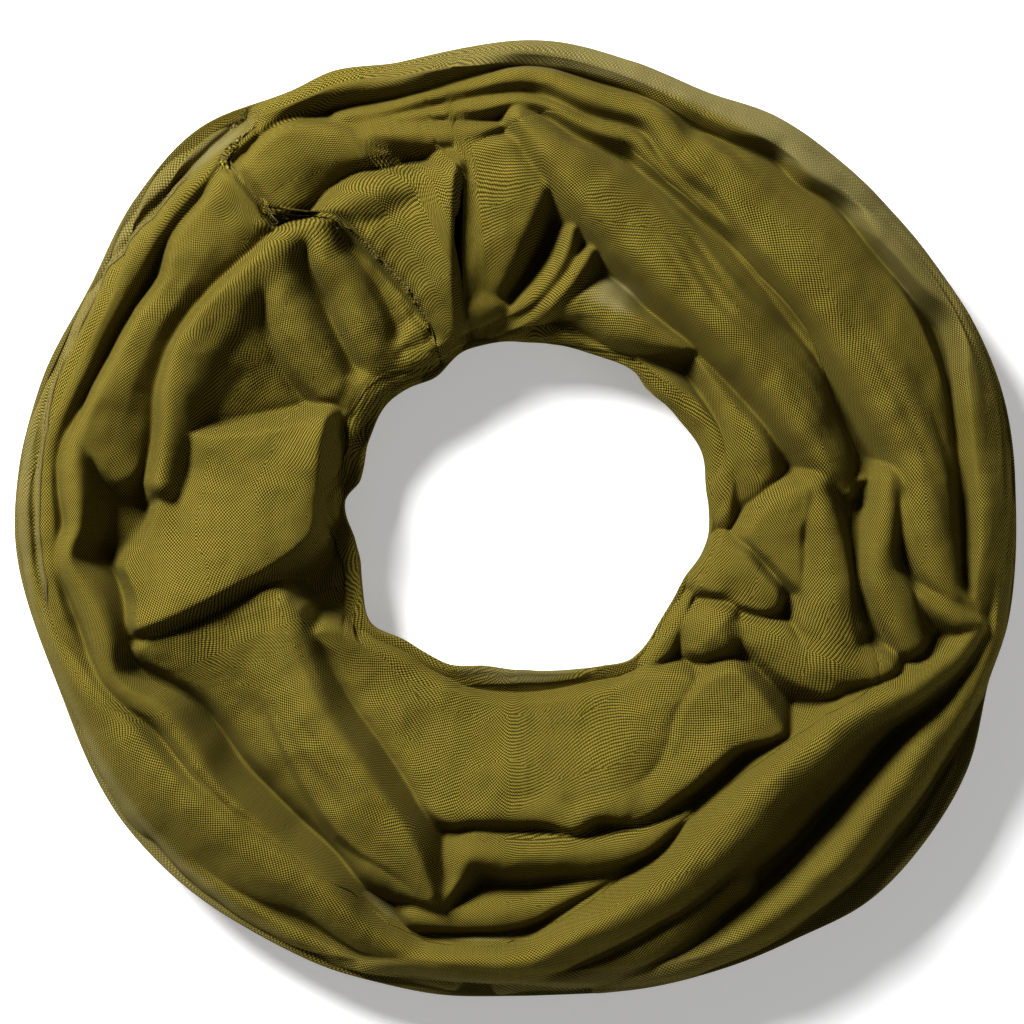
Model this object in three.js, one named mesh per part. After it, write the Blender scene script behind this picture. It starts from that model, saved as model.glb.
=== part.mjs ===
// A loop scarf, worn as a neck gaiter, laid on a table in a doubled ring.
// One woven panel, joined end to end, goes round the ring twice. Its two turns lie against
// each other and change places once a round, as the strands of a rope do.
// Millimetres, +Z up. The origin is under the middle of the ring, on the surface it lies on.

import * as THREE from "three";

// Outline of the ring in plan: an outer ellipse, and the neck opening, a smaller one set off it.
const OUTER_HALF_X = 200;
const OUTER_HALF_Y = 191;
const OPENING_HALF_X = 79;
const OPENING_HALF_Y = 66;
const OPENING_AT_X = 10;
const OPENING_AT_Y = 6;

// Section of the ring: a rounded body with a flat underside.
const PILE_HEIGHT = 68;
const WAIST_HEIGHT = 29; // height of the widest part
const UNDERSIDE_CUT = 7; // how far the full curve of the underside would reach below the table
const SECTION_POWER = 2.3; // 2 is an ellipse, and more is squarer

// The joining seam crosses the whole top of the ring at this angle from +X.
const SEAM_ANGLE = 120;
const SEAM_ALLOWANCE_THICKNESS = 2.4; // the two raw ends, pressed together
const THREAD_RADIUS = 0.4;
const SEAM_THREAD_SET_IN = 0.1; // how far the seam thread lies under the outline

// The hems along the two long edges of the panel.
const HEM_WIDTH = 8;
const HEM_THICKNESS = 1.2;
const HEM_THREAD_PLACES = [1 / 3, 2 / 3]; // shares of the hem's width, one for each edge
const HEM_SET_IN = 0.5; // from the corner of a turn to the outer edge of its hem
const GROOVE_DEPTH = 6; // how far the corners of the turns lie under the outline

const CLEARANCE = 0.3; // between pieces that touch
const END_MARGIN = 4; // from the hems to the ends of the overlock thread

// Resolution of the lofts.
const STATIONS_PER_TURN = 48;
const ARC_STEPS = 24;
const THREAD_SIDES = 6;
const SEAM_THREAD_STEPS = 40;
const OVERLOCK_STEPS = 12;

const THREAD_LANE = 2 * THREAD_RADIUS;
const TURN_GAP = 2 * HEM_THICKNESS + THREAD_LANE + 4 * CLEARANCE;
const SEAM_GAP = SEAM_ALLOWANCE_THICKNESS + 2 * CLEARANCE;

const rad = THREE.MathUtils.degToRad;
const FULL_TURN = 2 * Math.PI;
const SEAM = rad(SEAM_ANGLE);

// Distance from the origin to the outer ellipse, in the direction of an angle.
function outerRadius(angle) {
  return 1 / Math.hypot(Math.cos(angle) / OUTER_HALF_X, Math.sin(angle) / OUTER_HALF_Y);
}

// Distance from the origin to the far side of the opening's ellipse, which holds the origin.
function openingRadius(angle) {
  const dx = Math.cos(angle) / OPENING_HALF_X;
  const dy = Math.sin(angle) / OPENING_HALF_Y;
  const cx = OPENING_AT_X / OPENING_HALF_X;
  const cy = OPENING_AT_Y / OPENING_HALF_Y;
  const a = dx * dx + dy * dy;
  const b = dx * cx + dy * cy;
  const c = cx * cx + cy * cy - 1;
  return (b + Math.sqrt(b * b - a * c)) / a;
}

function middleRadius(angle) {
  return (outerRadius(angle) + openingRadius(angle)) / 2;
}

// A point of the ring's section at an angle, as radius and height. turn is the direction within
// the section, from 0 at the outer side, up and over. inset moves it inwards from the outline.
function sectionPoint(angle, turn, inset = 0) {
  const outer = outerRadius(angle);
  const inner = openingRadius(angle);
  const halfWidth = (outer - inner) / 2 - inset;
  const c = Math.cos(turn);
  const s = Math.sin(turn);
  const rise = s > 0 ? PILE_HEIGHT - WAIST_HEIGHT : WAIST_HEIGHT + UNDERSIDE_CUT;
  const power = 2 / SECTION_POWER;
  const across = halfWidth * Math.sign(c) * Math.abs(c) ** power;
  const up = (rise - inset) * Math.sign(s) * Math.abs(s) ** power;
  return new THREE.Vector2(middleRadius(angle) + across, Math.max(WAIST_HEIGHT + up, inset));
}

// The line that parts the two turns has turned by half the way travelled from the seam.
function partingTurn(way) {
  return way / 2;
}

// A point in the gap between the turns. It lies depth along the parting line, from the corner
// where a turn begins (end 0) or ends (end 1), and side away from the middle of the gap.
function gapPoint(way, end, depth, side) {
  const angle = SEAM + way;
  const first = sectionPoint(angle, partingTurn(way), GROOVE_DEPTH);
  const last = sectionPoint(angle, partingTurn(way) + Math.PI, GROOVE_DEPTH);
  const along = last.clone().sub(first).normalize();
  const across = new THREE.Vector2(along.y, -along.x);
  const corner = end === 0 ? first : last;
  const inwards = end === 0 ? depth : -depth;
  return corner.clone().addScaledVector(along, inwards).addScaledVector(across, side);
}

// Places a section point in space. shift moves it along the ring, square to the section.
function inSpace(way, point, shift = 0) {
  const angle = SEAM + way;
  return new THREE.Vector3(
    point.x * Math.cos(angle) - shift * Math.sin(angle),
    point.x * Math.sin(angle) + shift * Math.cos(angle),
    point.y,
  );
}

// The outline of one turn of the gathered cloth, as a list of section points.
function turnOutline(way, inset = 0) {
  const angle = SEAM + way;
  const outline = [gapPoint(way, 0, inset, TURN_GAP / 2)];
  for (let k = 1; k < ARC_STEPS; k++) {
    const turn = partingTurn(way) + (Math.PI * k) / ARC_STEPS;
    outline.push(sectionPoint(angle, turn, inset));
  }
  outline.push(gapPoint(way, 1, inset, TURN_GAP / 2));
  return outline;
}

// The same outline in space, at a way round the ring. shift moves it along the ring, square to
// the section there, and the parting line turns with it.
function outlineInSpace(way, shift, inset = 0) {
  const wayThere = way + shift / middleRadius(SEAM + way);
  return turnOutline(wayThere, inset).map((p) => inSpace(way, p, shift));
}

// A closed solid through a list of rings of points, each running from the outer side, up and
// over. Without closed ends it joins up with itself.
function loft(rings, closeEnds) {
  const sides = rings[0].length;
  const positions = rings.flat().flatMap((p) => p.toArray());
  const index = [];
  const spans = closeEnds ? rings.length - 1 : rings.length;
  for (let i = 0; i < spans; i++) {
    const here = i * sides;
    const next = ((i + 1) % rings.length) * sides;
    for (let j = 0; j < sides; j++) {
      const k = (j + 1) % sides;
      index.push(here + j, next + k, here + k, here + j, next + j, next + k);
    }
  }
  if (closeEnds) {
    const last = (rings.length - 1) * sides;
    for (let j = 1; j < sides - 1; j++) {
      index.push(0, j, j + 1, last, last + j + 1, last + j);
    }
  }
  const geometry = new THREE.BufferGeometry();
  geometry.setAttribute("position", new THREE.Float32BufferAttribute(positions, 3));
  geometry.setIndex(index);
  geometry.computeVertexNormals();
  return geometry;
}

// One turn of the cloth. Its ends stand off the planes of the seam by the given gaps.
function clothTurn(firstStation, gapAtStart, gapAtEnd) {
  const rings = [];
  for (let i = 0; i <= STATIONS_PER_TURN; i++) {
    const way = (FULL_TURN * (firstStation + i)) / STATIONS_PER_TURN;
    let shift = 0;
    if (i === 0) shift = gapAtStart;
    if (i === STATIONS_PER_TURN) shift = -gapAtEnd;
    rings.push(outlineInSpace(way, shift));
  }
  return loft(rings, true);
}

// The pressed raw ends of the panel, gathered like the cloth round them.
function seamAllowance() {
  const inset = SEAM_THREAD_SET_IN + THREAD_LANE + CLEARANCE;
  const half = SEAM_ALLOWANCE_THICKNESS / 2;
  return loft([outlineInSpace(0, -half, inset), outlineInSpace(0, half, inset)], true);
}

// A thread along a line of points: a tube with closed ends.
function thread(points, steps) {
  const curve = new THREE.CatmullRomCurve3(points, false, "centripetal");
  const section = new THREE.Shape();
  for (let i = 0; i < THREAD_SIDES; i++) {
    const a = (FULL_TURN * i) / THREAD_SIDES;
    const corner = [THREAD_RADIUS * Math.cos(a), THREAD_RADIUS * Math.sin(a)];
    if (i === 0) section.moveTo(...corner);
    else section.lineTo(...corner);
  }
  section.closePath();
  return new THREE.ExtrudeGeometry(section, { steps, extrudePath: curve, bevelEnabled: false });
}

// The line of lockstitches that closes the seam, over the whole outside of the gathered cloth.
function seamThread() {
  const inset = SEAM_THREAD_SET_IN + THREAD_RADIUS;
  const points = turnOutline(0, inset).slice(1, -1);
  return thread(points.map((p) => inSpace(0, p)), SEAM_THREAD_STEPS);
}

// The overlock stitches along the raw edges of the allowance, on the inner side of the gather.
function overlockThread() {
  const depth = HEM_SET_IN + HEM_WIDTH + END_MARGIN;
  const side = TURN_GAP / 2 - CLEARANCE - THREAD_RADIUS;
  const points = [gapPoint(0, 0, depth, side), gapPoint(0, 1, depth, side)];
  return thread(points.map((p) => inSpace(0, p)), OVERLOCK_STEPS);
}

// One hem: a flat strip along one long edge of the panel, which goes round with both turns.
function hem(end) {
  const outer = HEM_SET_IN;
  const inner = HEM_SET_IN + HEM_WIDTH;
  const far = TURN_GAP / 2 - CLEARANCE;
  const near = far - HEM_THICKNESS;
  const corners = [
    [outer, near],
    [inner, near],
    [inner, far],
    [outer, far],
  ];
  if (end === 0) corners.reverse();
  const rings = [];
  for (let i = 0; i < 2 * STATIONS_PER_TURN; i++) {
    const way = (FULL_TURN * i) / STATIONS_PER_TURN;
    rings.push(corners.map(([depth, side]) => inSpace(way, gapPoint(way, end, depth, side))));
  }
  return loft(rings, false);
}

// The stitching of one hem. The two hems face each other across the gap, so their threads run
// in the middle of it, side by side.
function hemThread(end) {
  const outwards = end === 0 ? -1 : 1;
  const depth = HEM_SET_IN + HEM_WIDTH * HEM_THREAD_PLACES[end];
  const rings = [];
  for (let i = 0; i < 2 * STATIONS_PER_TURN; i++) {
    const way = (FULL_TURN * i) / STATIONS_PER_TURN;
    const ring = [];
    for (let j = 0; j < THREAD_SIDES; j++) {
      const a = (FULL_TURN * j) / THREAD_SIDES;
      const at = depth + outwards * THREAD_RADIUS * Math.cos(a);
      ring.push(inSpace(way, gapPoint(way, end, at, THREAD_RADIUS * Math.sin(a))));
    }
    rings.push(ring);
  }
  return loft(rings, false);
}

const scarf = new THREE.Group();

function addPiece(name, geometry, material) {
  const mesh = new THREE.Mesh(geometry, material);
  mesh.name = name;
  scarf.add(mesh);
}

function cloth(color) {
  return new THREE.MeshStandardMaterial({ color, roughness: 0.95, metalness: 0 });
}

const wovenCloth = cloth(0x6b6420);
const hemCloth = cloth(0x5d571c);
const sewingThread = new THREE.MeshStandardMaterial({
  color: 0x4d4818,
  roughness: 0.6,
  metalness: 0,
});

addPiece("cloth_first_turn", clothTurn(0, SEAM_GAP / 2, CLEARANCE / 2), wovenCloth);
addPiece("cloth_second_turn", clothTurn(STATIONS_PER_TURN, CLEARANCE / 2, SEAM_GAP / 2), wovenCloth);
addPiece("seam_allowance", seamAllowance(), wovenCloth);
addPiece("seam_thread", seamThread(), sewingThread);
addPiece("seam_overlock_thread", overlockThread(), sewingThread);
addPiece("first_edge_hem", hem(0), hemCloth);
addPiece("first_hem_thread", hemThread(0), sewingThread);
addPiece("second_edge_hem", hem(1), hemCloth);
addPiece("second_hem_thread", hemThread(1), sewingThread);

export default scarf;
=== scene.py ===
# A loop scarf of thin woven cloth, worn as a neck gaiter, laid doubled in a gathered ring.
# One panel goes round the ring twice. Its visible folds are placed as crests on the pile,
# and the cloth is stretched over them, tucked in along the line between its two turns and
# pleated inside. Tables are in degrees and millimetres, and everything built is in metres.
import bpy
import numpy as np
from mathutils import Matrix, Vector


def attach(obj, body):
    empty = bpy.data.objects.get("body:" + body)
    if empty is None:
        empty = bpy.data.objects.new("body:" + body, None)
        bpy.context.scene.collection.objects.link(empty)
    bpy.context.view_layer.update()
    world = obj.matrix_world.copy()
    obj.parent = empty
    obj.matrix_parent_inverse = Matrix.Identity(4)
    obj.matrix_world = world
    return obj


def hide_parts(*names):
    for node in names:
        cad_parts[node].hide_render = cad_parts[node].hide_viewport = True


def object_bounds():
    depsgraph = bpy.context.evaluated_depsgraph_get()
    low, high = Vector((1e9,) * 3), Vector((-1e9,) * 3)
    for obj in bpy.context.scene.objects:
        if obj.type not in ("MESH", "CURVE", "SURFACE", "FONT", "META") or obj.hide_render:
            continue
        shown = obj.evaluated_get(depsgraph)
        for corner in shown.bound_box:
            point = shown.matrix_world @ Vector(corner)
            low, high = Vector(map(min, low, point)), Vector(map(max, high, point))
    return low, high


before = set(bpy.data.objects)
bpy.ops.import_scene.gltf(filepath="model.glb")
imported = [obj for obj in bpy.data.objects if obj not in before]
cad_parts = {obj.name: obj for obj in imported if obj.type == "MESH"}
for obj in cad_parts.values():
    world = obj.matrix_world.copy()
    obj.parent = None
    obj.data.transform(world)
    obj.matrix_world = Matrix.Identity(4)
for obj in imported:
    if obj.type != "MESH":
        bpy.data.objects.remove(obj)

CAD_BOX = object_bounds()
MM = (CAD_BOX[1][0] - CAD_BOX[0][0]) / 400  # metres in a millimetre of the tables
SEED = 7

SEAM_ANGLE = 120
PANEL_LENGTH = 1.75

WAIST = 29  # height of the widest part of the pile
BELLY = 36  # reach of the underside's curve below that
SECTION_POWER = 2.3
FLOOR_GAP = 0.4  # the lowest cloth stands this far off the table

CELL = 0.6  # grid on which the folds are worked out
GRID_HALF_X = 216
GRID_HALF_Y = 210
VALLEY_FLOOR = 27

# How the cloth bridges the folds under it: it is pulled tight over them, and sags a little between.
MEMBRANE_START = 1.5
MEMBRANE_ROUNDS = 5
MEMBRANE_REACH = 1.3
MEMBRANE_SAG = 0.5
FINISH_BLUR = 0.55
VALLEYS = [(7, 1.05), (3, 0.55)]  # reach, and how much deeper than in the tables the cloth dips there
LOWEST_VALLEY = 24
STEEPEST = 3.4  # rise over run that the cloth can lie at
STEEP_ROUNDS = 14
STEEP_BLUR = 0.5

# Single folds and lobes.
CREST_STEP = 1.2  # between samples of a crest
OUTLINE_STEP = 1.5  # between samples of a lobe's outline
LEAST_REACH = 1.5
GENTLE_FROM = 7  # a flank that reaches further than this is a slope, and a nearer one is rolled over
GENTLE_OVER = 9
SIDE_SOFTNESS = 1.5  # over which the two reaches of a fold blend at its crest
CROWN_REACH = 8  # in from its outline, over which a lobe rises to its crown
LOBE_MARGIN = 4
JOIN_WIDTH = 2.5  # height over which two folds that meet share a soft hollow
RIPPLE_HEIGHT = 0.8
RIPPLE_STEP = (6.5, 10.5)  # shortest and longest
FAR_BELOW = -1e3  # height given off a fold, so that it never shows

WALL_FOLD_STEP = 16  # from one fold to the next down the sides
WALL_FOLD_DEPTH = 5.0
RIM_CLEAR = 0.38  # how far up and down from the rims (radians of the section) the folds of the sides fade
WALL_SLACK = 0.8  # how far the proudest folds of the sides stand past the rims
RIM_RISE = 4  # the folds end at least this far above the widest part of the pile at its rims
RIM_SLOPE = 60  # and may be this much lower at the middle of the pile
SECTION_LENGTH = 300  # round the section of the pile
SECTION_CELLS = 256  # grid of the sides' unevenness, round the section and round the ring
ANGLE_CELLS = 720

STATIONS = 900  # for one round of the ring
ARC_POINTS = 250
TUCK_POINTS = 6
LAYERS = 6  # of cloth pleated inside the pile, out of sight
LAYER_POINTS = 8
LAYER_STEP = 2
PLEAT_START = 8
PLEAT_SHARE = 0.62  # of the half width of the ring
TUCK_FLOOR = 18  # height that the tucked cloth makes for
TUCK_DEPTH = 13
PLEAT_AIM = 0.25  # share of the way to the middle of the ring at which the cloth dives in
DESCENT = (0.33, 0.66, 1.0)  # of the way in
MEAN_RADIUS = 139  # of the ring, where a metre of the panel is a metre of the ring
GAUGE_BLUR = 18  # stations over which the weave evens out the panel's width round the ring

# Where the first edge of the panel lies open on top of the pile (degrees), and how softly it tucks in.
OPEN_EDGE = (132, 190)
OPEN_EDGE_FADE = 5

HEM_WIDTH = 8
HEM_COLUMNS = (0, 0.6, 2, 3.6, 5.2, 6.4, 7.4, HEM_WIDTH)
HEM_WEAVE_WIDTH = 0.018  # metres of weave round the hem
# how much of the table's light is painted through the hem
HEM_THINNESS = 0.25
HEM_HALF_THICKNESS = 0.5
HEM_BOTTOM = -0.4  # of that half thickness, from the face of the cloth
HEM_TOP = 1.6
SEAM_ALLOWANCE_WIDTH = 10
SEAM_WEAVE_WIDTH = 0.022
SEAM_STATIONS = 16  # of the panel, that the allowance takes up
SEAM_ROWS = 7
SEAM_END_ROWS = 6  # just inside the tucked edges, where the allowance is already flat
SEAM_PULL = 45  # degrees on each side of the seam over which the weave turns to follow it
SEAM_REACH = 14  # how far from the seam the cloth puckers
SEAM_DEPTH = 1.5
PUCKER_STEP = 6.5
PARTING_REACH = 9  # how far from the line between the turns the cloth dips
ALLOWANCE_HEIGHTS = (-1.9, -0.7)  # of the seam allowance, under the face of the cloth
ALLOWANCE_HIDDEN = 0.15  # of that depth, where the seam lies inside the pile
SEAM_CROSSING = (147, 11)  # radius where the seam passes under the gathered fold, and half its length there
CROSSING_TUCK = 0.22  # share of the way to the middle of the pile
RIM_TUCK = 0.09  # the same share, at the rims
RIM_TUCK_WIDTH = 0.2  # of the half width of the ring
SEAM_STITCH = (2.6, 1.5, 0.12)  # pitch, length and lift
OVERLOCK_PLACE = 7.2  # where the overlock thread turns back, from the seam
OVERLOCK_DEPTH = 2.2
OVERLOCK_RADIUS = 0.2
HEM_STITCH_PLACE = 6.3  # from the edge of the panel
HEM_STITCH_LIFT = 0.15
STITCH_PITCH = 3.0
STITCH_LENGTH = 2.1
STITCH_START = 0.15  # into its step
STITCH_RISE = (-1.2, 0.7, 1.0, 0.7, -1.2)  # of its lift, along one stitch
STITCH_TAPER = (0.6, 1, 1.1, 1, 0.6)
STITCH_SIDES = 6
THREAD_RADIUS = 0.22
THREAD_SIDES = 5
LEAST_HEIGHT = 0.1  # of any piece above the table

WEAVE_PITCH = 0.00068  # metres from one yarn to the next
WEAVE_DRIFT = 0.012  # how far the yarns stray from the panel's own lines, in metres
GAUGE_STEP = 1.25  # the weave keeps its scale on the gathered cloth to within half such a step
CLOTH_COLOR = (0.168, 0.1295, 0.0140)
# painted shade, near black, in the holes between the yarns
YARN_GAP_PAINTED_SHADE = (0.004, 0.003, 0.0002)
YARN_TOP_PAINTED_HIGHLIGHT = (1.35, 1.42, 3.6)  # painted highlight: how much brighter the tops of the yarns are painted, by channel
# painted light: the pale table seen through thin cloth, painted into its colour
TABLE_THROUGH_CLOTH = (0.155, 0.135, 0.060)
HEM_COLOR = (0.180, 0.140, 0.021)
THREAD_COLOR = (0.13, 0.10, 0.02)

CAMERA_HEIGHT = 1.6
SENSOR_WIDTH = 36
FRAME_WIDTH = 0.4096
FRAME_CENTRE = (-0.002, 0.0032)
KEY_LIGHT = ((-0.84, 0.98, 1.22), 0.62, 88)  # place, size and power
FILL_LIGHT = ((1.0, -0.6, 1.6), 1.2, 3)
SKY_STRENGTH = 0.095
FLOOR_HALF_WIDTH = 3

# Silhouette of the pile from above, as (degrees, mm).
OUTER_RIM = [(0, 199), (12, 200), (24, 198), (40, 193), (57, 191), (66, 186), (75, 188), (86, 191),
    (104, 188), (112, 193), (118, 193), (129, 201), (140, 199), (151, 194), (165, 198), (180, 200),
    (201, 194.5), (217, 198), (240, 194.5), (258, 191.5), (274, 190), (290, 195), (303, 200), (312, 206),
    (320, 207), (331, 205), (341, 199), (348, 200)]
INNER_RIM = [(0, 78), (10, 77.5), (22, 79.5), (33, 77), (45, 74.5), (52, 76.5), (70, 73), (90, 72),
    (106, 72), (120, 67), (138, 71), (152, 67.5), (166, 65.5), (174, 70), (187, 66), (200, 67), (215, 72),
    (228, 66), (245, 64.5), (258, 60.5), (280, 62), (300, 68), (310, 72.5), (325, 71), (340, 71.5),
    (350, 76)]

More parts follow.
